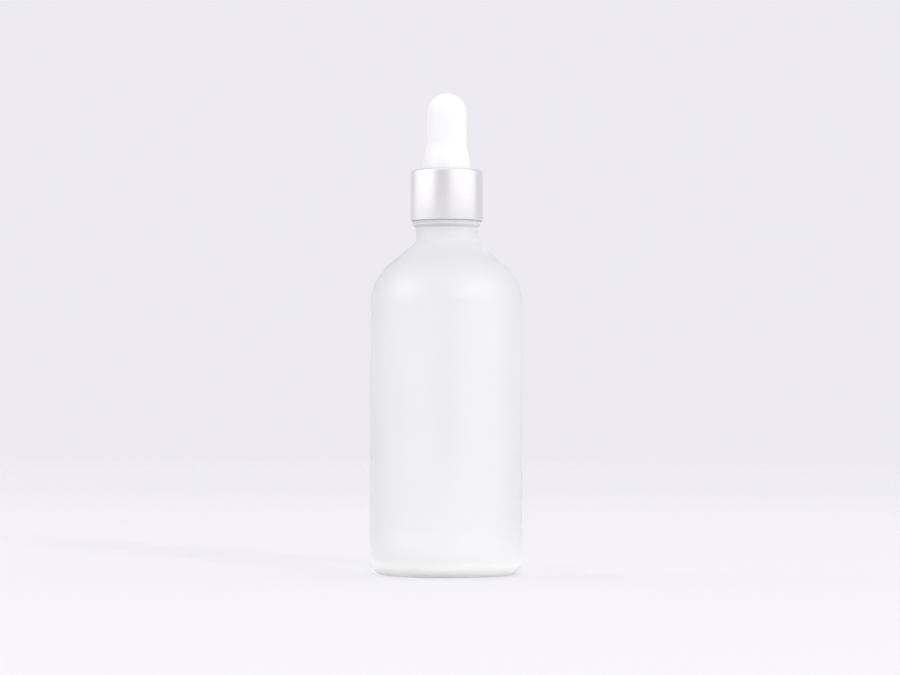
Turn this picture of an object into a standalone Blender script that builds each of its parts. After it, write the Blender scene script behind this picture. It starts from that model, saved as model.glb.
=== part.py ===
"""A dropper bottle: a 100 ml frosted glass bottle with an 18 mm screw neck, closed by a medicine dropper.

The dropper is a rubber bulb and a glass pipette, held in a screw cap of white plastic inside a
drawn aluminium collar, with a washer that seals on the bottle's rim. Run it in Blender 4.5. Units are
metres, +Z is up, and the origin is at the middle of the bottle's base, on the axis of every turned piece.

What moves, all from rest at zero. What carries a motion has its travel as a custom property:
  pull out   everything but the bottle slides up +Z
  unscrew    the cap and the collar turn about +Z
  rise       cap, collar, bulb and pipette climb the thread's pitch for each of those turns
  squeeze    the bulb's two pads slide towards each other along X
"""

import math

import bmesh
import bpy

MM = 0.001

# The gap between two pieces that touch in the real object.
GAP = 0.3 * MM

# The bottle, from its base up
BODY_RADIUS = 22.25 * MM
BODY_WALL = 2.2 * MM
HEEL_ROUNDING = 3.75 * MM
FLOOR_THICKNESS = 3.6 * MM
FLOOR_CROWN = 0.8 * MM
INNER_HEEL_ROUNDING = 5.0 * MM
PUNT_RADIUS = 14.0 * MM
PUNT_DEPTH = 1.5 * MM
PUNT_SLOPE = 1.6 * MM
BODY_STRAIGHT_TOP = 78.6 * MM
SHOULDER_ROUNDING = 16.0 * MM
SHOULDER_TURN = math.radians(50)
NECK_RADIUS = 9.0 * MM
NECK_ROUNDING = 1.6 * MM
NECK_BORE = 5.75 * MM
BORE_ROUNDING = 3.5 * MM
BEAD_RADIUS = 9.9 * MM
BEAD_BOTTOM = 101.1 * MM
BEAD_CORNER = 101.9 * MM
BEAD_TOP = 102.9 * MM
BEAD_ROUNDING = 0.35 * MM
FINISH_RADIUS = 7.95 * MM
RIM_TOP = 112.6 * MM
RIM_ROUNDING = 0.6 * MM

# The screw thread, which the bottle and the cap share. The cap's ridge stays just outside the bottle's.
THREAD_PITCH = 3.0 * MM
BOTTLE_THREAD_START = 105.8 * MM
BOTTLE_THREAD_TURNS = 1.5
BOTTLE_THREAD_DEPTH = 0.7 * MM
CAP_THREAD_TURNS = 1.0
CREST_CLEARANCE = 0.12 * MM
UNSCREW_TURNS = 1.5
LIFT_TRAVEL = 120.0 * MM

# The collar and the cap that it covers
COLLAR_RADIUS = 10.57 * MM
COLLAR_WALL = 0.35 * MM
COLLAR_BOTTOM = BEAD_TOP + GAP
COLLAR_TOP = 118.1 * MM
COLLAR_ROUNDING = 0.9 * MM
COLLAR_EDGE_ROUNDING = 0.2 * MM
CAP_WALL = 0.75 * MM
CAP_RECESS = 0.4 * MM
CAP_ROUNDING = 0.5 * MM
BULB_HOLE_RADIUS = 7.3 * MM

# The washer on the rim, and the bulb's flange on the washer
WASHER_THICKNESS = 0.9 * MM
FLANGE_RADIUS = 8.4 * MM
FLANGE_THICKNESS = 1.7 * MM

# The bulb above its flange
BULB_RADIUS = 5.68 * MM
BULB_WALL = 1.33 * MM
BULB_FOOT_RADIUS = 6.98 * MM
BULB_FLARE_BOTTOM = 118.6 * MM
BULB_FLARE_TOP = 126.6 * MM
BULB_TOP = 140.78 * MM
BULB_CAVITY_BOTTOM = 123.5 * MM
BULB_CAVITY_SLOPE = 1.1 * MM
PAD_BOTTOM = 125.5 * MM
PAD_TOP = 133.9 * MM
PAD_HALF_WIDTH = 2.5 * MM
SQUEEZE_TRAVEL = 3.2 * MM

# The pipette, with a ring near its top end that the bulb grips
PIPETTE_RADIUS = 3.5 * MM
PIPETTE_BORE = 2.5 * MM
PIPETTE_TOP = 123.2 * MM
PIPETTE_RING_RADIUS = 4.6 * MM
PIPETTE_RING_BOTTOM = 118.5 * MM
PIPETTE_RING_TOP = 119.7 * MM
PIPETTE_RING_ROUNDING = 0.55 * MM
TAPER_TOP = 42.0 * MM
TAPER_BOTTOM = 28.0 * MM
STEM_RADIUS = 1.6 * MM
STEM_BORE = 0.7 * MM
TIP_BALL_RADIUS = 1.85 * MM
TIP_BALL_MIDDLE = 23.4 * MM
TIP_BOTTOM = 21.8 * MM

# How finely round things are drawn. An arc in an outline bows out by at most ARC_BOW from its chords.
BOTTLE_STEPS = 56
CAP_STEPS = 40
TUBE_STEPS = 24
THREAD_STEPS = 28
ARC_BOW = 0.05 * MM
EASE_STEPS = 7


def clear_scene():
    for obj in list(bpy.data.objects):
        bpy.data.objects.remove(obj)


def new_collection(name):
    collection = bpy.data.collections.new(name)
    bpy.context.scene.collection.children.link(collection)
    return collection


def material(name, colour, roughness, metallic=0.0, transmission=0.0, ior=1.5):
    made = bpy.data.materials.new(name)
    made.use_nodes = True
    made.diffuse_color = (*colour, 1.0)
    shader = made.node_tree.nodes["Principled BSDF"]
    shader.inputs["Base Color"].default_value = (*colour, 1.0)
    shader.inputs["Roughness"].default_value = roughness
    shader.inputs["Metallic"].default_value = metallic
    shader.inputs["Transmission Weight"].default_value = transmission
    shader.inputs["IOR"].default_value = ior
    return made


def rounded(corners):
    """The outline through corners of (radius, height, rounding), with each rounding drawn as an arc."""
    points = []
    for i, (r, z, rounding) in enumerate(corners):
        if rounding == 0:
            points.append((r, z))
            continue
        before = (corners[i - 1][0] - r, corners[i - 1][1] - z)
        after = (corners[(i + 1) % len(corners)][0] - r, corners[(i + 1) % len(corners)][1] - z)
        heading_in = math.atan2(-before[1], -before[0])
        heading_out = math.atan2(after[1], after[0])
        turn = (heading_out - heading_in + math.pi) % (2 * math.pi) - math.pi
        side = math.copysign(1, turn)
        reach = rounding * math.tan(abs(turn) / 2)
        centre_r = r - reach * math.cos(heading_in) - side * rounding * math.sin(heading_in)
        centre_z = z - reach * math.sin(heading_in) + side * rounding * math.cos(heading_in)
        steps = math.ceil(abs(turn) / (2 * math.acos(1 - ARC_BOW / rounding)))
        for step in range(steps + 1):
            heading = heading_in + turn * step / steps
            points.append(
                (
                    centre_r + side * rounding * math.sin(heading),
                    centre_z - side * rounding * math.cos(heading),
                )
            )
    return points


def ease(start, end):
    """Corners along an S-shaped run between two points (radius, height), upright at both of its ends."""
    run = []
    for step in range(EASE_STEPS + 1):
        share = step / EASE_STEPS
        across = (1 - math.cos(math.pi * share)) / 2
        r = start[0] + (end[0] - start[0]) * across
        z = start[1] + (end[1] - start[1]) * share
        run.append((r, z, 0))
    return run


def turned(name, outline, steps, collection, finish, ring=False, base=0.0):
    """A piece turned about Z. A ring's outline closes on itself; any other has both ends on the axis."""
    mesh = bpy.data.meshes.new(name)
    points = [(max(r, 0.0), 0.0, z - base) for r, z in outline]
    edges = [(i, i + 1) for i in range(len(points) - 1)]
    if ring:
        edges.append((len(points) - 1, 0))
    mesh.from_pydata(points, edges, [])
    obj = bpy.data.objects.new(name, mesh)
    obj.location.z = base
    collection.objects.link(obj)
    screw = obj.modifiers.new("Turn", "SCREW")
    screw.axis = "Z"
    screw.angle = 2 * math.pi
    screw.steps = steps
    screw.render_steps = steps
    screw.use_merge_vertices = True
    screw.merge_threshold = 0.000001
    if finish:
        mesh.materials.append(finish)
    return obj


def combine(obj, other, operation):
    boolean = obj.modifiers.new(f"{operation.title()} {other.name}", "BOOLEAN")
    boolean.operation = operation
    boolean.object = other
    boolean.solver = "EXACT"


def smooth(obj):
    """Gives obj the mesh that its modifiers make, shaded smooth but for its sharp edges."""
    bpy.context.view_layer.update()
    graph = bpy.context.evaluated_depsgraph_get()
    made = bpy.data.meshes.new_from_object(obj.evaluated_get(graph))
    obj.modifiers.clear()
    obj.data = made
    made.name = obj.name
    made.shade_smooth()
    made.set_sharp_from_angle(angle=math.radians(35))


def helper(obj):
    obj.hide_render = True
    obj.display_type = "WIRE"
    return obj


def ridge(name, radius, depth, start, turns, collection, base=0.0):
    """A helical ridge, round in section, that thins away over a sixth of a turn at each end."""
    curve = bpy.data.curves.new(name, "CURVE")
    curve.dimensions = "3D"
    curve.twist_mode = "Z_UP"
    curve.bevel_depth = depth
    curve.bevel_resolution = 2
    curve.use_fill_caps = True
    count = round(turns * THREAD_STEPS)
    fade = THREAD_STEPS / 6
    spline = curve.splines.new("POLY")
    spline.points.add(count)
    for i, point in enumerate(spline.points):
        angle = 2 * math.pi * i / THREAD_STEPS
        height = start - base + THREAD_PITCH * i / THREAD_STEPS
        point.co = (radius * math.cos(angle), radius * math.sin(angle), height, 1.0)
        point.radius = 0.3 + 0.7 * min(1.0, i / fade, (count - i) / fade)
    drawn = bpy.data.objects.new(name, curve)
    drawn.location.z = base
    collection.objects.link(drawn)
    bpy.context.view_layer.update()
    graph = bpy.context.evaluated_depsgraph_get()
    mesh = bpy.data.meshes.new_from_object(drawn.evaluated_get(graph))
    shape = bmesh.new()
    shape.from_mesh(mesh)
    bmesh.ops.remove_doubles(shape, verts=shape.verts, dist=0.000001)
    bmesh.ops.recalc_face_normals(shape, faces=shape.faces)
    shape.to_mesh(mesh)
    shape.free()
    solid = bpy.data.objects.new(name, mesh)
    solid.matrix_world = drawn.matrix_world
    bpy.data.objects.remove(drawn)
    solid.name = name
    collection.objects.link(solid)
    return helper(solid)


def block(name, low, high, collection):
    """A helper block between two corners."""
    shape = bmesh.new()
    bmesh.ops.create_cube(shape, size=1.0)
    size = [b - a for a, b in zip(low, high)]
    bmesh.ops.scale(shape, vec=size, verts=shape.verts)
    mesh = bpy.data.meshes.new(name)
    shape.to_mesh(mesh)
    shape.free()
    obj = bpy.data.objects.new(name, mesh)
    obj.location = [(a + b) / 2 for a, b in zip(low, high)]
    collection.objects.link(obj)
    return helper(obj)


def glass_bottle(parts, helpers, finish):
    """The bottle: straight body, round shoulder, neck, the bead below its thread, and an open mouth."""
    corner_drop = SHOULDER_ROUNDING * math.tan(SHOULDER_TURN / 2)
    cone = math.tan(math.pi / 2 - SHOULDER_TURN)
    shoulder = BODY_STRAIGHT_TOP + corner_drop
    neck = shoulder + (BODY_RADIUS - NECK_RADIUS) * cone
    inner_radius = BODY_RADIUS - BODY_WALL
    inner_shoulder = shoulder - BODY_WALL * math.tan(SHOULDER_TURN / 2)
    inner_neck = inner_shoulder + (inner_radius - NECK_BORE) * cone
    inside = [
        (0, FLOOR_THICKNESS + FLOOR_CROWN, 0),
        (inner_radius, FLOOR_THICKNESS, INNER_HEEL_ROUNDING),
        (inner_radius, inner_shoulder, SHOULDER_ROUNDING - BODY_WALL),
        (NECK_BORE, inner_neck, BORE_ROUNDING),
        (NECK_BORE, RIM_TOP, RIM_ROUNDING),
    ]
    outside = [
        (FINISH_RADIUS, RIM_TOP, RIM_ROUNDING),
        (FINISH_RADIUS, BEAD_TOP, 0),
        (BEAD_RADIUS, BEAD_TOP, BEAD_ROUNDING),
        (BEAD_RADIUS, BEAD_CORNER, BEAD_ROUNDING),
        (NECK_RADIUS, BEAD_BOTTOM, BEAD_ROUNDING),
        (NECK_RADIUS, neck, NECK_ROUNDING),
        (BODY_RADIUS, shoulder, SHOULDER_ROUNDING),
        (BODY_RADIUS, 0, HEEL_ROUNDING),
        (PUNT_RADIUS, 0, 0),
        (PUNT_RADIUS - PUNT_SLOPE, PUNT_DEPTH, 0),
        (0, PUNT_DEPTH, 0),
    ]
    bottle = turned("glass_bottle", rounded(inside + outside), BOTTLE_STEPS, parts, finish)
    thread = ridge(
        "bottle_thread",
        FINISH_RADIUS,
        BOTTLE_THREAD_DEPTH,
        BOTTLE_THREAD_START,
        BOTTLE_THREAD_TURNS,
        helpers,
    )
    combine(bottle, thread, "UNION")
    return bottle


def metal_collar(parts, finish):
    """The drawn aluminium collar: a thin cup upside down, with the bulb's hole in its top."""
    inside = COLLAR_RADIUS - COLLAR_WALL
    under = COLLAR_TOP - COLLAR_WALL
    outline = [
        (BULB_HOLE_RADIUS, COLLAR_TOP, 0),
        (COLLAR_RADIUS, COLLAR_TOP, COLLAR_ROUNDING),
        (COLLAR_RADIUS, COLLAR_BOTTOM, COLLAR_EDGE_ROUNDING),
        (inside, COLLAR_BOTTOM, 0),
        (inside, under, COLLAR_ROUNDING - COLLAR_WALL),
        (BULB_HOLE_RADIUS, under, 0),
    ]
    return turned(
        "metal_collar", rounded(outline), CAP_STEPS, parts, finish, ring=True, base=COLLAR_BOTTOM
    )


def inner_cap(parts, helpers, finish):
    """The plastic screw cap inside the collar. Its ridge runs half a pitch above the bottle's."""
    outside = COLLAR_RADIUS - COLLAR_WALL - GAP
    inside = outside - CAP_WALL
    top = COLLAR_TOP - COLLAR_WALL - GAP
    bottom = COLLAR_BOTTOM + CAP_RECESS
    outline = [
        (BULB_HOLE_RADIUS, top, 0),
        (outside, top, CAP_ROUNDING),
        (outside, bottom, 0),
        (inside, bottom, 0),
        (inside, flange_top() + GAP, CAP_ROUNDING),
        (BULB_HOLE_RADIUS, flange_top() + GAP, 0),
    ]
    cap = turned(
        "inner_cap", rounded(outline), CAP_STEPS, parts, finish, ring=True, base=COLLAR_BOTTOM
    )
    crest = FINISH_RADIUS + BOTTLE_THREAD_DEPTH + CREST_CLEARANCE
    thread = ridge(
        "cap_thread",
        inside,
        inside - crest,
        BOTTLE_THREAD_START + THREAD_PITCH / 2,
        CAP_THREAD_TURNS,
        helpers,
        base=COLLAR_BOTTOM,
    )
    combine(cap, thread, "UNION")
    return cap


def washer_bottom():
    return RIM_TOP + GAP


def flange_bottom():
    return washer_bottom() + WASHER_THICKNESS + GAP


def flange_top():
    return flange_bottom() + FLANGE_THICKNESS


def sealing_washer(parts, finish):
    """The flat washer round the pipette, pressed on the rim by the bulb's flange."""
    bottom = washer_bottom()
    hole = PIPETTE_RADIUS + GAP
    outline = [
        (hole, bottom + WASHER_THICKNESS),
        (FLANGE_RADIUS, bottom + WASHER_THICKNESS),
        (FLANGE_RADIUS, bottom),
        (hole, bottom),
    ]
    return turned("sealing_washer", outline, CAP_STEPS, parts, finish, ring=True, base=bottom)


def bulb_outline():
    """The whole bulb: dome, wall, flared foot and flange outside, and socket, groove and cavity inside."""
    socket = PIPETTE_RADIUS + GAP
    groove = PIPETTE_RING_RADIUS + GAP
    cavity = BULB_RADIUS - BULB_WALL
    return rounded(
        [
            (0, BULB_TOP, 0),
            (BULB_RADIUS, BULB_TOP, BULB_RADIUS),
            *ease((BULB_RADIUS, BULB_FLARE_TOP), (BULB_FOOT_RADIUS, BULB_FLARE_BOTTOM)),
            (BULB_FOOT_RADIUS, flange_top(), 0),
            (FLANGE_RADIUS, flange_top(), 0),
            (FLANGE_RADIUS, flange_bottom(), 0),
            (socket, flange_bottom(), 0),
            (socket, PIPETTE_RING_BOTTOM - GAP, 0),
            (groove, PIPETTE_RING_BOTTOM - GAP, 0),
            (groove, PIPETTE_RING_TOP + GAP, 0),
            (socket, PIPETTE_RING_TOP + GAP, 0),
            (socket, BULB_CAVITY_BOTTOM, 0),
            (cavity, BULB_CAVITY_BOTTOM + BULB_CAVITY_SLOPE, 0),
            (cavity, BULB_TOP - BULB_WALL, cavity),
            (0, BULB_TOP - BULB_WALL, 0),
        ]
    )


def rubber_bulb(parts, helpers, finish):
    """The bulb, with an opening in each side for the pad of wall that a finger presses in."""
    bulb = turned("rubber_bulb", bulb_outline(), CAP_STEPS, parts, finish, base=flange_bottom())
    side = PAD_HALF_WIDTH + GAP
    openings = block(
        "pad_openings",
        (-2 * BULB_RADIUS, -side, PAD_BOTTOM - GAP),
        (2 * BULB_RADIUS, side, PAD_TOP + GAP),
        helpers,
    )
    combine(bulb, openings, "DIFFERENCE")
    return bulb


def bulb_pad(name, side, parts, helpers, finish):
    """The pad of bulb wall on one side, -1 for the left and 1 for the right."""
    middle = (PAD_BOTTOM + PAD_TOP) / 2
    pad = turned(name, bulb_outline(), CAP_STEPS, parts, finish, base=middle)
    ends = sorted((side * MM, side * 2 * BULB_RADIUS))
    outline = block(
        name + "_outline",
        (ends[0], -PAD_HALF_WIDTH, PAD_BOTTOM),
        (ends[1], PAD_HALF_WIDTH, PAD_TOP),
        helpers,
    )
    combine(pad, outline, "INTERSECT")
    pad["travel_m"] = SQUEEZE_TRAVEL
    return pad


def glass_pipette(parts, finish):
    """The pipette: a tube with a ring that the bulb grips, drawn down to a thin stem with a ball tip."""
    outline = [
        (PIPETTE_RADIUS, PIPETTE_TOP, 0),
        (PIPETTE_RADIUS, PIPETTE_RING_TOP, 0),
        (PIPETTE_RING_RADIUS, PIPETTE_RING_TOP, PIPETTE_RING_ROUNDING),
        (PIPETTE_RING_RADIUS, PIPETTE_RING_BOTTOM, PIPETTE_RING_ROUNDING),
        (PIPETTE_RADIUS, PIPETTE_RING_BOTTOM, 0),
        *ease((PIPETTE_RADIUS, TAPER_TOP), (STEM_RADIUS, TAPER_BOTTOM)),
        (STEM_RADIUS, TIP_BALL_MIDDLE + TIP_BALL_RADIUS, 0),
        (TIP_BALL_RADIUS, TIP_BALL_MIDDLE, 0),
        (STEM_RADIUS, TIP_BOTTOM, 0),
        (STEM_BORE, TIP_BOTTOM, 0),
        *ease((STEM_BORE, TAPER_BOTTOM), (PIPETTE_BORE, TAPER_TOP)),
        (PIPETTE_BORE, PIPETTE_TOP, 0),
    ]
    return turned(
        "glass_pipette", rounded(outline), TUBE_STEPS, parts, finish, ring=True, base=washer_bottom()
    )


def empty_at(name, height, collection):
    obj = bpy.data.objects.new(name, None)
    obj.location.z = height
    obj.empty_display_size = BODY_RADIUS
    collection.objects.link(obj)
    return obj


def attach(children, parent):
    bpy.context.view_layer.update()
    for child in children:
        child.parent = parent
        child.matrix_parent_inverse = parent.matrix_world.inverted()


def build():
    clear_scene()
    parts = new_collection("dropper_bottle")
    helpers = new_collection("helpers")

    frosted = material("frosted_glass", (0.86, 0.87, 0.87), 0.55, transmission=0.6, ior=1.52)
    clear = material("clear_glass", (0.95, 0.96, 0.96), 0.05, transmission=1.0, ior=1.52)
    aluminium = material("anodised_aluminium", (0.78, 0.78, 0.79), 0.35, metallic=1.0)
    rubber = material("white_rubber", (0.90, 0.90, 0.89), 0.6)
    plastic = material("white_plastic", (0.85, 0.85, 0.84), 0.4)
    washer_plastic = material("washer_plastic", (0.80, 0.80, 0.78), 0.5)

    bottle = glass_bottle(parts, helpers, frosted)
    pipette = glass_pipette(parts, clear)
    washer = sealing_washer(parts, washer_plastic)
    bulb = rubber_bulb(parts, helpers, rubber)
    left_pad = bulb_pad("bulb_pad_left", -1, parts, helpers, rubber)
    right_pad = bulb_pad("bulb_pad_right", 1, parts, helpers, rubber)
    cap = inner_cap(parts, helpers, plastic)
    collar = metal_collar(parts, aluminium)
    for piece in (bottle, pipette, washer, bulb, left_pad, right_pad, cap, collar):
        smooth(piece)

    lift = empty_at("pull_out_axis", washer_bottom(), parts)
    lift["travel_m"] = LIFT_TRAVEL
    rise = empty_at("rise_axis", flange_bottom(), parts)
    rise["travel_m"] = UNSCREW_TURNS * THREAD_PITCH
    turn = empty_at("unscrew_axis", COLLAR_BOTTOM, parts)
    turn["travel_turns"] = UNSCREW_TURNS
    attach([bulb, pipette, left_pad, right_pad, turn], rise)
    attach([cap, collar], turn)
    attach([washer, rise], lift)


build()
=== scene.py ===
"""The looks of the dropper bottle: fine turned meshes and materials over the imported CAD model.

Every piece but the floor is turned about the Z axis, from an outline of corners (radius, height, rounding).
The outlines repeat the design's own dimensions, and what the frame can give comes from the frame.
"""

import math

import bpy
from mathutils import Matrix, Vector


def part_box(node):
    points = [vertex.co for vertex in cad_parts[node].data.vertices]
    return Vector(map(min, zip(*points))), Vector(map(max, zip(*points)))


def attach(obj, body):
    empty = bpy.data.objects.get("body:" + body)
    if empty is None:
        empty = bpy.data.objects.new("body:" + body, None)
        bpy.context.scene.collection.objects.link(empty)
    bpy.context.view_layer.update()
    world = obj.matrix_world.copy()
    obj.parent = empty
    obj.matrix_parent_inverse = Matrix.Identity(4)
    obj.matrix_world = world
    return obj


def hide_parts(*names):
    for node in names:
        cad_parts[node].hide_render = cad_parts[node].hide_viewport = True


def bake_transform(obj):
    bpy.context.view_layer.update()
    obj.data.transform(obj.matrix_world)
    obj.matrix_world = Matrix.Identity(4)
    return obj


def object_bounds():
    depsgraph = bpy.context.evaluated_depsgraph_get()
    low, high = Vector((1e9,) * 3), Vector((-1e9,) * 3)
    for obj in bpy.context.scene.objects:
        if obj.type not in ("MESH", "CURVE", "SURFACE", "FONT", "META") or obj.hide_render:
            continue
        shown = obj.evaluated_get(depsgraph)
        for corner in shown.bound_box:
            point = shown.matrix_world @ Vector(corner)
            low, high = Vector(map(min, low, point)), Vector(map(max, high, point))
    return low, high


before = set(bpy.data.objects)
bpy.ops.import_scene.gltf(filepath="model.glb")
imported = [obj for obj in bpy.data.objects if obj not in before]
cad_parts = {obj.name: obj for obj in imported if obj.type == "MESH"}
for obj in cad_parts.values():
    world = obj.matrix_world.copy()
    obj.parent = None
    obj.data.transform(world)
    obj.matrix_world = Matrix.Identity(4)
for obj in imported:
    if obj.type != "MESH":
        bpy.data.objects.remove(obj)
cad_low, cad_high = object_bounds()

MM = 0.001

# The frame: what each CAD node's box says
BOTTLE_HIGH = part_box("glass_bottle")[1]
PIPETTE_LOW, PIPETTE_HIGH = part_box("glass_pipette")
WASHER_LOW, WASHER_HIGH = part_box("sealing_washer")
BULB_LOW, BULB_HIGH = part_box("rubber_bulb")
PAD_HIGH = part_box("bulb_pad_right")[1]
CAP_LOW, CAP_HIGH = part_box("inner_cap")
COLLAR_LOW, COLLAR_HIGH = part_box("metal_collar")

# The bottle
BODY_RADIUS = BOTTLE_HIGH.x
BODY_WALL = 2.2 * MM
HEEL_ROUNDING = 3.75 * MM
FLOOR_THICKNESS = 3.6 * MM
FLOOR_CROWN = 0.8 * MM
INNER_HEEL_ROUNDING = 5.0 * MM
PUNT_RADIUS = 14.0 * MM
PUNT_DEPTH = 1.5 * MM
PUNT_SLOPE = 1.6 * MM
PUNT_EDGE_ROUNDING = 0.4 * MM
PUNT_TOP_ROUNDING = 0.8 * MM
STIPPLES = 72
STIPPLE_DEPTH = 0.12 * MM
STIPPLE_MARGIN = 0.2 * MM
STIPPLE_ROWS = 12
BODY_STRAIGHT_TOP = 78.6 * MM
SHOULDER_ROUNDING = 16.0 * MM
SHOULDER_TURN = math.radians(50)
NECK_RADIUS = 9.0 * MM
NECK_ROUNDING = 1.6 * MM
NECK_BORE = 5.75 * MM
BORE_ROUNDING = 3.5 * MM
BEAD_RADIUS = 9.9 * MM
BEAD_BOTTOM = 101.1 * MM
BEAD_CORNER = 101.9 * MM
BEAD_TOP = 103.4 * MM  # drawn up into the collar, so that no gap shows between them
BEAD_ROUNDING = 0.3 * MM
FINISH_RADIUS = 7.95 * MM
FINISH_FOOT_ROUNDING = 0.6 * MM
RIM_TOP = BOTTLE_HIGH.z
RIM_ROUNDING = 0.6 * MM

# The thread on the bottle and, half a pitch above it, the one in the cap
THREAD_PITCH = 3.0 * MM
THREAD_START = 105.8 * MM
THREAD_TURNS = 1.5
THREAD_DEPTH = 0.7 * MM
CAP_THREAD_TURNS = 1.0
CREST_CLEARANCE = 0.12 * MM
THREAD_FADE = 1 / 6  # of a turn, over which each end of a thread dies away
THREAD_HALF_WIDTH = 0.38 * THREAD_PITCH
CREST_SHARPNESS = 1.3
THREAD_ROWS = 90

# The collar and the cap
COLLAR_RADIUS = COLLAR_HIGH.x
COLLAR_WALL = 0.35 * MM
COLLAR_ROUNDING = 0.9 * MM
COLLAR_EDGE_ROUNDING = 0.08 * MM
COLLAR_HOLE_ROUNDING = 0.15 * MM
CAP_OUTSIDE = CAP_HIGH.x
CAP_WALL = 0.75 * MM
CAP_ROUNDING = 0.5 * MM
CAP_CEILING = BULB_LOW.z + 2.0 * MM
CAP_EDGE_ROUNDING = 0.15 * MM
BULB_HOLE_RADIUS = 7.3 * MM

# The washer and the bulb
WASHER_EDGE_ROUNDING = 0.12 * MM
SOCKET_RADIUS = 3.8 * MM
GROOVE_RADIUS = 4.9 * MM
GROOVE_BOTTOM = 118.2 * MM
GROOVE_TOP = 120.0 * MM
FLANGE_TOP = BULB_LOW.z + 1.7 * MM
FLANGE_RADIUS = BULB_HIGH.x
RUBBER_ROUNDING = 0.25 * MM
BULB_RADIUS = PAD_HIGH.x
BULB_WALL = 1.33 * MM
BULB_FOOT_RADIUS = 6.98 * MM
BULB_FLARE_BOTTOM = 118.6 * MM
BULB_FLARE_TOP = 126.6 * MM
BULB_ROOT_TOP = COLLAR_HIGH.z - 0.2 * MM
CAVITY_BOTTOM = 123.5 * MM
CAVITY_SLOPE = 1.1 * MM
SEAM_STEP = 0.05 * MM
SEAM_ANGLE = math.radians(0.3)

# The pipette
PIPETTE_RADIUS = 3.5 * MM
PIPETTE_BORE = 2.5 * MM
RING_BOTTOM = 118.5 * MM
RING_TOP = 119.7 * MM
RING_ROUNDING = 0.55 * MM
RING_FILLET = 0.3 * MM
TAPER_TOP = 42.0 * MM
TAPER_BOTTOM = 28.0 * MM
STEM_RADIUS = 1.6 * MM
STEM_BORE = 0.7 * MM
BALL_RADIUS = 1.85 * MM
BALL_MIDDLE = 23.4 * MM
BALL_ROUNDING = 1.2 * MM
BALL_FILLET = 0.8 * MM
FIRE_POLISH = 0.35 * MM
TIP_BORE_ROUNDING = 0.2 * MM

# The glass: how much light it lets through (0 milky, 1 clear) at the heel and above it, then how that changes
# between other heights, and between which heights its shadow sets in
GLASS_IOR = 1.5
# These clearnesses are painted light: the heel is clearer so that it shows less of the shade on the floor
# under it, and the neck is milkier so that the neck and bead look lighter in the collar's shade
HEEL_CLEARNESS = 0.7
BODY_CLEARNESS = 0.4
HEEL_HEIGHTS = (0.5 * MM, 3 * MM)
CLEARNESS_CHANGES = ((0.1, (6 * MM, 14 * MM)), (-0.12, (93.5 * MM, 95.5 * MM)))
SHADOW_HEIGHTS = (10 * MM, 32 * MM)

# The depth of each surface's finest relief
ETCHED_GRAIN = 0.01 * MM
GLASS_WAVE = 0.02 * MM
ANODISED_GRAIN = 0.001 * MM
RUBBER_GRAIN = 0.01 * MM
ORANGE_PEEL = 0.01 * MM

# How finely things are drawn
BOTTLE_STEPS = 192
SMALL_STEPS = 160
ARC_BOW = 0.004 * MM
EASE_STEPS = 24
REPEAT_DISTANCE = 1e-8
AXIS_RADIUS = 1e-9
SLIVER = 1e-6
SHARP_ANGLE = math.radians(40)

# The floor, from its middle out: plain, then paler, and fading into the room
FLOOR_RADIUS = 2.1
FLOOR_DROP = 0.02 * MM
FLOOR_PALE_FROM = 0.9
FLOOR_PALE_TO = 2.2
FLOOR_FADE_FROM = 0.5
FLOOR_FADE_TO = 2.0

# The lamps stand round the bottle, and are a little warmer than the room
ROOM_COLOUR = (0.843, 0.828, 0.878, 1.0)
LAMP_COLOUR = (1.0, 1.0, 0.965)
LAMP_DISTANCE = 2.2
CORE_DISTANCE = 2.1
CORE_SPANS = (16, 16)
KEY_DISTANCE = 4.0

# The camera: level with the lower half of the bottle, tilted up a little to take in the bulb
CAMERA_DISTANCE = 0.8093
CAMERA_HEIGHT = 47 * MM
CAMERA_ACROSS = 1.1 * MM
CAMERA_TILT = math.radians(1.5665)
CAMERA_ROLL = math.radians(-0.11)
LENS = 110.6


# Turned meshes


def rounded(corners):
    """The outline through corners of (radius, height, rounding), with each rounding drawn as an arc."""
    points = []
    for i, (r, z, rounding) in enumerate(corners):
        if rounding == 0:
            points.append((r, z))
            continue
        after = corners[(i + 1) % len(corners)]
        heading_in = math.atan2(z - corners[i - 1][1], r - corners[i - 1][0])
        heading_out = math.atan2(after[1] - z, after[0] - r)
        turn = (heading_out - heading_in + math.pi) % (2 * math.pi) - math.pi
        side = math.copysign(1, turn)
        reach = rounding * math.tan(abs(turn) / 2)
        centre_r = r - reach * math.cos(heading_in) - side * rounding * math.sin(heading_in)
        centre_z = z - reach * math.sin(heading_in) + side * rounding * math.cos(heading_in)
        steps = math.ceil(abs(turn) / (2 * math.acos(1 - ARC_BOW / rounding)))
        for step in range(steps + 1):
            heading = heading_in + turn * step / steps
            points.append(
                (
                    centre_r + side * rounding * math.sin(heading),
                    centre_z - side * rounding * math.cos(heading),
                )
            )
    return points


def ease(start, end):
    """Corners along an S-shaped run between two points (radius, height), upright at both of its ends."""
    run = []
    for step in range(EASE_STEPS + 1):
        share = step / EASE_STEPS
        across = (1 - math.cos(math.pi * share)) / 2
        run.append((start[0] + (end[0] - start[0]) * across, start[1] + (end[1] - start[1]) * share, 0))
    return run


def run_between(start, end, rows):
    """Evenly spaced corners strictly between two points (radius, height)."""
    return [
        (
            start[0] + (end[0] - start[0]) * row / rows,
            start[1] + (end[1] - start[1]) * row / rows,
            0,
        )
        for row in range(1, rows)
    ]


def without_repeats(points):
    """The points without those that repeat the one before."""
    kept = []
    for point in points:
        if not kept or math.dist(point, kept[-1]) > REPEAT_DISTANCE:
            kept.append(point)
    return kept


def angles_between(first, last, steps):
    """Even angles, with one more close to each end so that the seam between two halves doesn't show."""
    even = [first + (last - first) * i / steps for i in range(steps + 1)]
    return [even[0], even[0] + SEAM_ANGLE, *even[1:-1], even[-1] - SEAM_ANGLE, even[-1]]


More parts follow.
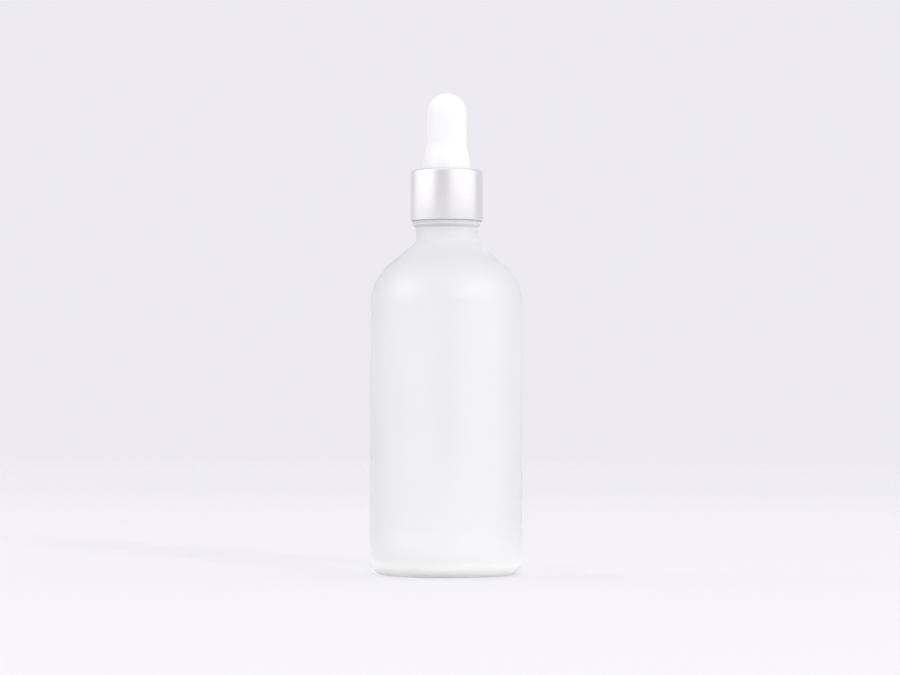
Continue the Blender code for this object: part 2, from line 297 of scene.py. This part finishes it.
def lathe(name, outline, angles, ring=False, whole=True, relief=None, second_from=None):
    """A turned mesh. A ring's outline closes on itself, and any other starts and ends on the axis.

    Whole goes all the way round; a part turn gets an end face at each end. relief(r, z, angle) moves a point
    to another (r, z). Faces from the outline's edge numbered second_from on take the second material.
    """
    outline = without_repeats(outline)
    verts, faces, slots = [], [], []
    rows = []
    for r, z in outline:
        if r < AXIS_RADIUS:
            rows.append([len(verts)] * len(angles))
            verts.append((0.0, 0.0, z))
            continue
        rows.append([])
        for angle in angles:
            radius, height = relief(r, z, angle) if relief else (r, z)
            rows[-1].append(len(verts))
            verts.append((radius * math.cos(angle), radius * math.sin(angle), height))
    columns = len(angles)
    pairs = [(i, i + 1) for i in range(len(outline) - 1)]
    if ring:
        pairs.append((len(outline) - 1, 0))
    spans = [(c, (c + 1) % columns) for c in range(columns if whole else columns - 1)]
    for edge, (top, bottom) in enumerate(pairs):
        for c, d in spans:
            corners = [rows[top][c], rows[bottom][c], rows[bottom][d], rows[top][d]]
            face = [v for k, v in enumerate(corners) if v not in corners[:k]]
            if len(face) > 2:
                faces.append(face)
                slots.append(int(second_from is not None and edge >= second_from))
    if not whole:
        faces.append([row[0] for row in reversed(rows)])
        faces.append([row[-1] for row in rows])
        slots += [0, 0]
    mesh = bpy.data.meshes.new(name)
    mesh.from_pydata(verts, [], faces)
    mesh.polygons.foreach_set("material_index", slots)
    mesh.validate()
    mesh.update()
    mesh.shade_smooth()
    mesh.set_sharp_from_angle(angle=SHARP_ANGLE)
    obj = bpy.data.objects.new(name, mesh)
    bpy.context.scene.collection.objects.link(obj)
    return obj


def full_turn(steps):
    """Evenly spaced angles all the way round."""
    return [2 * math.pi * i / steps for i in range(steps)]


def ridge_height(z, angle, start, turns, depth):
    """How far a rounded helical ridge stands out at this height and angle."""
    best = 0.0
    for lap in range(math.ceil(turns) + 1):
        along = angle / (2 * math.pi) + lap
        if not 0 <= along <= turns:
            continue
        fade = min(1.0, along / THREAD_FADE, (turns - along) / THREAD_FADE)
        off = (z - start - THREAD_PITCH * along) / THREAD_HALF_WIDTH
        if abs(off) < 1:
            crest = math.cos(off * math.pi / 2) ** CREST_SHARPNESS
            best = max(best, depth * math.sin(fade * math.pi / 2) * crest)
    return best


# Materials


def add(tree, kind, settings=None, **inputs):
    """A node with its settings, and its inputs set to a value or linked to a socket."""
    node = tree.nodes.new(kind)
    for key, value in (settings or {}).items():
        setattr(node, key, value)
    for key, value in inputs.items():
        socket = node.inputs[key.replace("_", " ")]
        if isinstance(value, bpy.types.NodeSocket):
            tree.links.new(value, socket)
        else:
            socket.default_value = value
    return node


def principled(name, **values):
    """A material with a Principled shader, and its object coordinates."""
    made = bpy.data.materials.new(name)
    made.use_nodes = True
    tree = made.node_tree
    shader = tree.nodes["Principled BSDF"]
    for key, value in values.items():
        shader.inputs[key.replace("_", " ")].default_value = value
    place = add(tree, "ShaderNodeTexCoord").outputs["Object"]
    return made, tree, shader, place


def noise(tree, place, scale, detail=2.0):
    """A pattern from 0 to 1, with about this many waves to a metre."""
    return add(tree, "ShaderNodeTexNoise", Vector=place, Scale=scale, Detail=detail).outputs["Fac"]


def spread(tree, value, low, high, from_low=0.3, from_high=0.7):
    """Maps from_low to from_high, by default the middle of a 0 to 1 pattern, onto low to high."""
    ends = {"From_Min": from_low, "From_Max": from_high, "To_Min": low, "To_Max": high}
    return add(tree, "ShaderNodeMapRange", Value=value, **ends).outputs["Result"]


def mix(tree, share, first, second):
    """A colour between two, by a share from 0 to 1.

    A Mix node's sockets go by number, since those for numbers, vectors and colours share their names.
    """
    node = tree.nodes.new("ShaderNodeMix")
    node.data_type = "RGBA"
    tree.links.new(share, node.inputs["Factor"])
    for socket, colour in ((node.inputs[6], first), (node.inputs[7], second)):
        if isinstance(colour, bpy.types.NodeSocket):
            tree.links.new(colour, socket)
        else:
            socket.default_value = (*colour, 1.0)
    return node.outputs[2]


def bump(tree, shader, height, distance):
    """Gives the surface a relief, distance deep."""
    node = add(tree, "ShaderNodeBump", Height=height, Distance=distance, Strength=1.0)
    tree.links.new(node.outputs["Normal"], shader.inputs["Normal"])


def stretched(tree, place, scale):
    """The coordinates scaled, so that a pattern on them stretches where the scale is under 1."""
    return add(tree, "ShaderNodeMapping", Vector=place, Scale=scale).outputs["Vector"]


def let_light_through(tree, shader, tint):
    """Lets the lamps' light through glass, which would otherwise cast a shadow like stone's."""
    path = add(tree, "ShaderNodeLightPath")
    through = add(tree, "ShaderNodeBsdfTransparent", Color=tint)
    both = tree.nodes.new("ShaderNodeMixShader")
    tree.links.new(path.outputs["Is Shadow Ray"], both.inputs[0])
    tree.links.new(shader.outputs["BSDF"], both.inputs[1])
    tree.links.new(through.outputs["BSDF"], both.inputs[2])
    tree.links.new(both.outputs["Shader"], tree.nodes["Material Output"].inputs["Surface"])


def frosted_glass():
    """Glass etched matt: milky, with a grain finer than a tenth of a millimetre and faint cloudiness.

    It looks clearest at the heel, and milkiest in the neck. This is painted light: the heel shows less of the
    shade on the floor under it, and the neck and bead look lighter in the collar's shade. The heel and the
    foot of the body cast no shadow, and the rest casts a pale one.
    """
    made, tree, shader, place = principled("frosted_glass", IOR=GLASS_IOR)
    height = add(tree, "ShaderNodeSeparateXYZ", Vector=place).outputs["Z"]
    # Painted light: clearness by height lightens the heel over the floor's shade, and the neck and bead in
    # the collar's shade
    clearness = spread(tree, height, HEEL_CLEARNESS, BODY_CLEARNESS, *HEEL_HEIGHTS)
    for change, heights in CLEARNESS_CHANGES:
        total = add(tree, "ShaderNodeMath", {"operation": "ADD"})
        tree.links.new(clearness, total.inputs[0])
        tree.links.new(spread(tree, height, 0.0, change, *heights), total.inputs[1])
        clearness = total.outputs["Value"]
    tree.links.new(clearness, shader.inputs["Transmission Weight"])
    clouds = noise(tree, place, scale=60, detail=3.0)
    grain = noise(tree, place, scale=9000)
    colour = mix(tree, spread(tree, clouds, 0, 1), (0.94, 0.945, 0.94), (0.95, 0.953, 0.948))
    tree.links.new(colour, shader.inputs["Base Color"])
    tree.links.new(spread(tree, clouds, 0.42, 0.48), shader.inputs["Roughness"])
    bump(tree, shader, grain, ETCHED_GRAIN)
    shading = spread(tree, height, 0, 1, *SHADOW_HEIGHTS)
    let_light_through(tree, shader, mix(tree, shading, (1.0, 1.0, 1.0), (0.52, 0.52, 0.52)))
    return made


def smooth_glass(name):
    """Plain glass, with the slight waves that a blown or drawn surface has."""
    made, tree, shader, place = principled(
        name, IOR=GLASS_IOR, Transmission_Weight=1.0, Base_Color=(0.99, 0.997, 0.993, 1.0)
    )
    waves = noise(tree, stretched(tree, place, (1, 1, 0.25)), scale=250, detail=1.0)
    tree.links.new(spread(tree, waves, 0.02, 0.05), shader.inputs["Roughness"])
    bump(tree, shader, waves, GLASS_WAVE)
    let_light_through(tree, shader, (0.97, 0.98, 0.975, 1.0))
    return made


def anodised_aluminium():
    """Satin silver anodising over drawn metal: fine grain, faint upright draw marks, a few rubbed spots."""
    made, tree, shader, place = principled("anodised_aluminium", Metallic=1.0)
    grain = noise(tree, place, scale=6000)
    draw_marks = noise(tree, stretched(tree, place, (1, 1, 0.02)), scale=1500)
    rubbed = noise(tree, place, scale=180, detail=4.0)
    tone = mix(tree, spread(tree, draw_marks, 0, 1), (0.775, 0.768, 0.772), (0.785, 0.778, 0.782))
    tree.links.new(tone, shader.inputs["Base Color"])
    tree.links.new(spread(tree, rubbed, 0.27, 0.33), shader.inputs["Roughness"])
    bump(tree, shader, grain, ANODISED_GRAIN)
    return made


def white_rubber():
    """White rubber: matt, a little uneven in tone, with a soft grain."""
    made, tree, shader, place = principled("white_rubber", IOR=1.45, Sheen_Weight=0.5)
    patches = noise(tree, place, scale=220, detail=3.0)
    grain = noise(tree, place, scale=4000)
    colour = mix(tree, spread(tree, patches, 0, 1), (0.825, 0.825, 0.817), (0.845, 0.845, 0.837))
    tree.links.new(colour, shader.inputs["Base Color"])
    tree.links.new(spread(tree, patches, 0.50, 0.60), shader.inputs["Roughness"])
    bump(tree, shader, grain, RUBBER_GRAIN)
    return made


def moulded_plastic(name, colour, shade):
    """Moulded plastic: an even tone, a faint orange-peel surface."""
    made, tree, shader, place = principled(name, IOR=1.49)
    patches = noise(tree, place, scale=300)
    peel = noise(tree, place, scale=2500)
    tree.links.new(mix(tree, spread(tree, patches, 0, 1), shade, colour), shader.inputs["Base Color"])
    tree.links.new(spread(tree, patches, 0.35, 0.45), shader.inputs["Roughness"])
    bump(tree, shader, peel, ORANGE_PEEL)
    return made


# The pieces


def bottle_relief(r, z, angle):
    """The thread round the finish, and the stippled ring that the bottle stands on."""
    if z > BEAD_TOP and r > FINISH_RADIUS - RIM_ROUNDING and z < RIM_TOP - RIM_ROUNDING:
        r += ridge_height(z, angle, THREAD_START, THREAD_TURNS, THREAD_DEPTH)
    if z < STIPPLE_DEPTH and PUNT_RADIUS < r < BODY_RADIUS - HEEL_ROUNDING - STIPPLE_MARGIN:
        z += STIPPLE_DEPTH * (0.5 - 0.5 * math.cos(STIPPLES * angle))
    return r, z


def make_bottle(outside_glass, inside_glass):
    """The bottle, frosted outside and smooth inside, with its thread and the hollow under its base."""
    cone = math.tan(math.pi / 2 - SHOULDER_TURN)
    shoulder = BODY_STRAIGHT_TOP + SHOULDER_ROUNDING * math.tan(SHOULDER_TURN / 2)
    neck = shoulder + (BODY_RADIUS - NECK_RADIUS) * cone
    inner_radius = BODY_RADIUS - BODY_WALL
    inner_shoulder = shoulder - BODY_WALL * math.tan(SHOULDER_TURN / 2)
    inner_neck = inner_shoulder + (inner_radius - NECK_BORE) * cone
    standing = BODY_RADIUS - HEEL_ROUNDING
    finish_top = (FINISH_RADIUS, RIM_TOP - RIM_ROUNDING)
    finish_foot = (FINISH_RADIUS, BEAD_TOP + FINISH_FOOT_ROUNDING)
    outside = [
        (NECK_BORE, RIM_TOP, RIM_ROUNDING),
        (FINISH_RADIUS, RIM_TOP, RIM_ROUNDING),
        *run_between(finish_top, finish_foot, THREAD_ROWS),
        (FINISH_RADIUS, BEAD_TOP, FINISH_FOOT_ROUNDING),
        (BEAD_RADIUS, BEAD_TOP, BEAD_ROUNDING),
        (BEAD_RADIUS, BEAD_CORNER, BEAD_ROUNDING),
        (NECK_RADIUS, BEAD_BOTTOM, BEAD_ROUNDING),
        (NECK_RADIUS, neck, NECK_ROUNDING),
        (BODY_RADIUS, shoulder, SHOULDER_ROUNDING),
        (BODY_RADIUS, 0, HEEL_ROUNDING),
        *run_between((standing, 0), (PUNT_RADIUS, 0), STIPPLE_ROWS),
        (PUNT_RADIUS, 0, PUNT_EDGE_ROUNDING),
        (PUNT_RADIUS - PUNT_SLOPE, PUNT_DEPTH, PUNT_TOP_ROUNDING),
        (0, PUNT_DEPTH, 0),
    ]
    inside = [
        (0, FLOOR_THICKNESS + FLOOR_CROWN, 0),
        (inner_radius, FLOOR_THICKNESS, INNER_HEEL_ROUNDING),
        (inner_radius, inner_shoulder, SHOULDER_ROUNDING - BODY_WALL),
        (NECK_BORE, inner_neck, BORE_ROUNDING),
    ]
    outline = rounded(inside + outside)
    bore_top = next(i for i, (r, z) in enumerate(outline) if z > RIM_TOP - RIM_ROUNDING - SLIVER)
    bottle = lathe(
        "frosted_bottle", outline, full_turn(BOTTLE_STEPS), relief=bottle_relief, second_from=bore_top
    )
    bottle.data.materials.append(inside_glass)
    bottle.data.materials.append(outside_glass)
    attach(bottle, "bottle")
    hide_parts("glass_bottle")


def make_pipette(glass):
    """The glass tube: a ring that the bulb grips, a long taper, and a small ball at the tip."""
    outline = [
        (PIPETTE_RADIUS, PIPETTE_HIGH.z, FIRE_POLISH),
        (PIPETTE_RADIUS, RING_TOP, RING_FILLET),
        (PIPETTE_HIGH.x, RING_TOP, RING_ROUNDING),
        (PIPETTE_HIGH.x, RING_BOTTOM, RING_ROUNDING),
        (PIPETTE_RADIUS, RING_BOTTOM, RING_FILLET),
        *ease((PIPETTE_RADIUS, TAPER_TOP), (STEM_RADIUS, TAPER_BOTTOM)),
        (STEM_RADIUS, BALL_MIDDLE + BALL_RADIUS, BALL_FILLET),
        (BALL_RADIUS, BALL_MIDDLE, BALL_ROUNDING),
        (STEM_RADIUS, PIPETTE_LOW.z, FIRE_POLISH),
        (STEM_BORE, PIPETTE_LOW.z, TIP_BORE_ROUNDING),
        *ease((STEM_BORE, TAPER_BOTTOM), (PIPETTE_BORE, TAPER_TOP)),
        (PIPETTE_BORE, PIPETTE_HIGH.z, FIRE_POLISH),
    ]
    pipette = lathe("pipette", rounded(outline), full_turn(SMALL_STEPS), ring=True)
    pipette.data.materials.append(glass)
    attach(pipette, "dropper")
    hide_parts("glass_pipette")


def make_washer(plastic):
    """The flat washer between the bulb's flange and the bottle's rim."""
    outline = [
        (SOCKET_RADIUS, WASHER_HIGH.z, WASHER_EDGE_ROUNDING),
        (WASHER_HIGH.x, WASHER_HIGH.z, WASHER_EDGE_ROUNDING),
        (WASHER_HIGH.x, WASHER_LOW.z, WASHER_EDGE_ROUNDING),
        (SOCKET_RADIUS, WASHER_LOW.z, WASHER_EDGE_ROUNDING),
    ]
    washer = lathe("washer", rounded(outline), full_turn(SMALL_STEPS), ring=True)
    washer.data.materials.append(plastic)
    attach(washer, "washer")
    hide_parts("sealing_washer")


def cap_relief(r, z, angle):
    """The cap's inner thread."""
    inside = CAP_OUTSIDE - CAP_WALL
    if r < inside + SLIVER and CAP_LOW.z + SLIVER < z < CAP_CEILING - CAP_ROUNDING - SLIVER:
        depth = inside - FINISH_RADIUS - THREAD_DEPTH - CREST_CLEARANCE
        r -= ridge_height(z, angle, THREAD_START + THREAD_PITCH / 2, CAP_THREAD_TURNS, depth)
    return r, z


def make_cap(plastic):
    """The plastic screw cap that the collar covers, open at the top for the bulb."""
    inside = CAP_OUTSIDE - CAP_WALL
    thread_foot = (inside, CAP_LOW.z + CAP_EDGE_ROUNDING)
    thread_top = (inside, CAP_CEILING - CAP_ROUNDING)
    outline = [
        (BULB_HOLE_RADIUS, CAP_HIGH.z, CAP_EDGE_ROUNDING),
        (CAP_OUTSIDE, CAP_HIGH.z, CAP_ROUNDING),
        (CAP_OUTSIDE, CAP_LOW.z, CAP_EDGE_ROUNDING),
        (inside, CAP_LOW.z, CAP_EDGE_ROUNDING),
        *run_between(thread_foot, thread_top, THREAD_ROWS),
        (inside, CAP_CEILING, CAP_ROUNDING),
        (BULB_HOLE_RADIUS, CAP_CEILING, CAP_EDGE_ROUNDING),
    ]
    cap = lathe("screw_cap", rounded(outline), full_turn(SMALL_STEPS), ring=True, relief=cap_relief)
    cap.data.materials.append(plastic)
    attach(cap, "cap")
    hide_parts("inner_cap")


def make_collar(metal):
    """The drawn aluminium collar over the cap."""
    inside = COLLAR_RADIUS - COLLAR_WALL
    under = COLLAR_HIGH.z - COLLAR_WALL
    outline = [
        (BULB_HOLE_RADIUS, COLLAR_HIGH.z, COLLAR_HOLE_ROUNDING),
        (COLLAR_RADIUS, COLLAR_HIGH.z, COLLAR_ROUNDING),
        (COLLAR_RADIUS, COLLAR_LOW.z, COLLAR_EDGE_ROUNDING),
        (inside, COLLAR_LOW.z, COLLAR_EDGE_ROUNDING),
        (inside, under, COLLAR_ROUNDING - COLLAR_WALL),
        (BULB_HOLE_RADIUS, under, COLLAR_HOLE_ROUNDING),
    ]
    collar = lathe("collar", rounded(outline), full_turn(BOTTLE_STEPS), ring=True)
    collar.data.materials.append(metal)
    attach(collar, "cap")
    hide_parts("metal_collar")


def make_bulb(rubber):
    """The bulb in seven pieces: its root in the cap and, for each side, a flared foot, a wall and a dome.

    At rest they make one surface.
    """
    cavity = BULB_RADIUS - BULB_WALL
    root = lathe(
        "bulb_root",
        rounded(
            [
                (BULB_FOOT_RADIUS, BULB_ROOT_TOP, 0),
                (BULB_FOOT_RADIUS, FLANGE_TOP, RUBBER_ROUNDING),
                (FLANGE_RADIUS, FLANGE_TOP, RUBBER_ROUNDING),
                (FLANGE_RADIUS, BULB_LOW.z, RUBBER_ROUNDING),
                (SOCKET_RADIUS, BULB_LOW.z, RUBBER_ROUNDING),
                (SOCKET_RADIUS, BULB_ROOT_TOP, 0),
            ]
        ),
        full_turn(SMALL_STEPS),
        ring=True,
    )
    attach(root, "dropper")
    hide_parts("rubber_bulb")
    dome_bottom = BULB_HIGH.z - BULB_RADIUS
    dome_outline = rounded(
        [
            (0, BULB_HIGH.z, 0),
            (BULB_RADIUS, BULB_HIGH.z, BULB_RADIUS),
            (BULB_RADIUS, dome_bottom - SEAM_STEP, 0),
            (cavity, dome_bottom - SEAM_STEP, 0),
            (cavity, BULB_HIGH.z - BULB_WALL, cavity),
            (0, BULB_HIGH.z - BULB_WALL, 0),
        ]
    )
    wall_outline = [
        (BULB_RADIUS, dome_bottom - SEAM_STEP),
        (BULB_RADIUS, BULB_FLARE_TOP),
        (cavity, BULB_FLARE_TOP),
        (cavity, dome_bottom - SEAM_STEP),
    ]
    foot_outline = rounded(
        [
            *ease((BULB_RADIUS, BULB_FLARE_TOP), (BULB_FOOT_RADIUS, BULB_FLARE_BOTTOM)),
            (BULB_FOOT_RADIUS, BULB_ROOT_TOP, 0),
            (SOCKET_RADIUS, BULB_ROOT_TOP, 0),
            (SOCKET_RADIUS, GROOVE_BOTTOM, 0),
            (GROOVE_RADIUS, GROOVE_BOTTOM, 0),
            (GROOVE_RADIUS, GROOVE_TOP, 0),
            (SOCKET_RADIUS, GROOVE_TOP, 0),
            (SOCKET_RADIUS, CAVITY_BOTTOM, 0),
            (cavity, CAVITY_BOTTOM + CAVITY_SLOPE, 0),
            (cavity, BULB_FLARE_TOP, 0),
        ]
    )
    pieces = [root]
    for side, body, middle in ((-1, "left_pad", math.pi), (1, "right_pad", 0.0)):
        word = "left" if side < 0 else "right"
        angles = angles_between(middle - math.pi / 2, middle + math.pi / 2, SMALL_STEPS // 2)
        dome = lathe("bulb_dome_" + word, dome_outline, angles, whole=False)
        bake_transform(dome)
        wall = lathe("bulb_wall_" + word, wall_outline, angles, ring=True, whole=False)
        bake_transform(wall)
        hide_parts("bulb_pad_" + word)
        foot = lathe("bulb_foot_" + word, foot_outline, angles, ring=True, whole=False)
        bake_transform(foot)
        pieces += [dome, wall, foot]
    for piece in pieces:
        piece.data.materials.append(rubber)


# The floor, the lamps and the camera


def make_floor():
    """A pale floor that fades into the room's own colour, so that it shows no edge from any side."""
    made, tree, shader, place = principled("stage_floor", Roughness=0.9)
    shader.inputs["Specular IOR Level"].default_value = 0.2
    distance = add(tree, "ShaderNodeVectorMath", {"operation": "LENGTH"}, Vector=place).outputs["Value"]
    paler = spread(tree, distance, 0.0, 1.0, FLOOR_PALE_FROM, FLOOR_PALE_TO)
    colour = mix(tree, paler, (0.795, 0.79, 0.81), (0.95, 0.94, 0.96))
    tree.links.new(colour, shader.inputs["Base Color"])
    fade = spread(tree, distance, 0.0, 1.0, FLOOR_FADE_FROM, FLOOR_FADE_TO)
    clear = add(tree, "ShaderNodeBsdfTransparent")
    both = tree.nodes.new("ShaderNodeMixShader")
    tree.links.new(fade, both.inputs[0])
    tree.links.new(shader.outputs["BSDF"], both.inputs[1])
    tree.links.new(clear.outputs["BSDF"], both.inputs[2])
    tree.links.new(both.outputs["Shader"], tree.nodes["Material Output"].inputs["Surface"])
    bpy.ops.mesh.primitive_circle_add(
        vertices=128, radius=FLOOR_RADIUS, fill_type="NGON", location=(0, 0, -FLOOR_DROP)
    )
    floor = bpy.context.object
    floor.name = "stage_floor"
    floor.data.materials.append(made)


def softbox(name, azimuth, elevation, radiance, spans, distance=LAMP_DISTANCE, diffuse=True, glossy=True):
    """A soft rectangular light that faces the bottle, spans degrees wide and high as seen from it.

    Azimuth 0 is beside the camera and 90 to its right. One that isn't diffuse shows only in reflections, and
    one that isn't glossy shows in none.
    """
    width, height = (2 * distance * math.tan(math.radians(span) / 2) for span in spans)
    data = bpy.data.lights.new(name, "AREA")
    data.shape = "RECTANGLE"
    data.size = width
    data.size_y = height
    data.energy = radiance * math.pi * width * height
    data.color = LAMP_COLOUR
    light = bpy.data.objects.new(name, data)
    light.visible_camera = False
    light.visible_diffuse = diffuse
    light.visible_glossy = glossy
    bpy.context.scene.collection.objects.link(light)
    a, e = math.radians(azimuth), math.radians(elevation)
    towards = Vector((math.sin(a) * math.cos(e), -math.cos(a) * math.cos(e), math.sin(e)))
    middle = Vector((0, 0, cad_high.z / 2))
    light.location = middle + towards * distance
    light.rotation_euler = towards.to_track_quat("Z", "Y").to_euler()


def make_light():
    """A pale room, two broad panels with a small bright core each, fills, a top light and the key lamp."""
    scene = bpy.context.scene
    scene.view_settings.view_transform = "Standard"
    world = bpy.data.worlds.new("studio")
    world.use_nodes = True
    background = world.node_tree.nodes["Background"]
    background.inputs["Color"].default_value = ROOM_COLOUR
    background.inputs["Strength"].default_value = 1.0
    scene.world = world
    softbox("panel_right", azimuth=57, elevation=18, radiance=0.42, spans=(95, 62))
    softbox("panel_left", azimuth=-79, elevation=18, radiance=0.385, spans=(84, 62))
    softbox("fill_left", azimuth=-110, elevation=25, radiance=0.22, spans=(70, 50), glossy=False)
    softbox("fill_right", azimuth=125, elevation=25, radiance=0.15, spans=(40, 50), glossy=False)
    softbox("top", azimuth=0, elevation=85, radiance=0.30, spans=(60, 60))
    core = {"spans": CORE_SPANS, "distance": CORE_DISTANCE, "diffuse": False}
    softbox("core_right", azimuth=62, elevation=29, radiance=7.0, **core)
    softbox("core_left", azimuth=-73, elevation=27, radiance=11.0, **core)
    softbox("key", azimuth=35, elevation=26, radiance=31.0, spans=(8, 8), distance=KEY_DISTANCE, glossy=False)


def make_camera():
    """The camera, in front of the bottle."""
    data = bpy.data.cameras.new("camera")
    data.lens = LENS
    camera = bpy.data.objects.new("camera", data)
    camera.location = (CAMERA_ACROSS, -CAMERA_DISTANCE, CAMERA_HEIGHT)
    camera.rotation_euler = (math.pi / 2 + CAMERA_TILT, CAMERA_ROLL, 0)
    bpy.context.scene.collection.objects.link(camera)
    bpy.context.scene.camera = camera


make_camera()
make_light()
make_floor()
make_bottle(frosted_glass(), smooth_glass("bottle_inside_glass"))
make_pipette(smooth_glass("clear_glass"))
make_washer(moulded_plastic("washer_plastic", (0.84, 0.84, 0.82), (0.78, 0.78, 0.76)))
make_cap(moulded_plastic("white_plastic", (0.88, 0.88, 0.87), (0.83, 0.83, 0.82)))
make_collar(anodised_aluminium())
make_bulb(white_rubber())
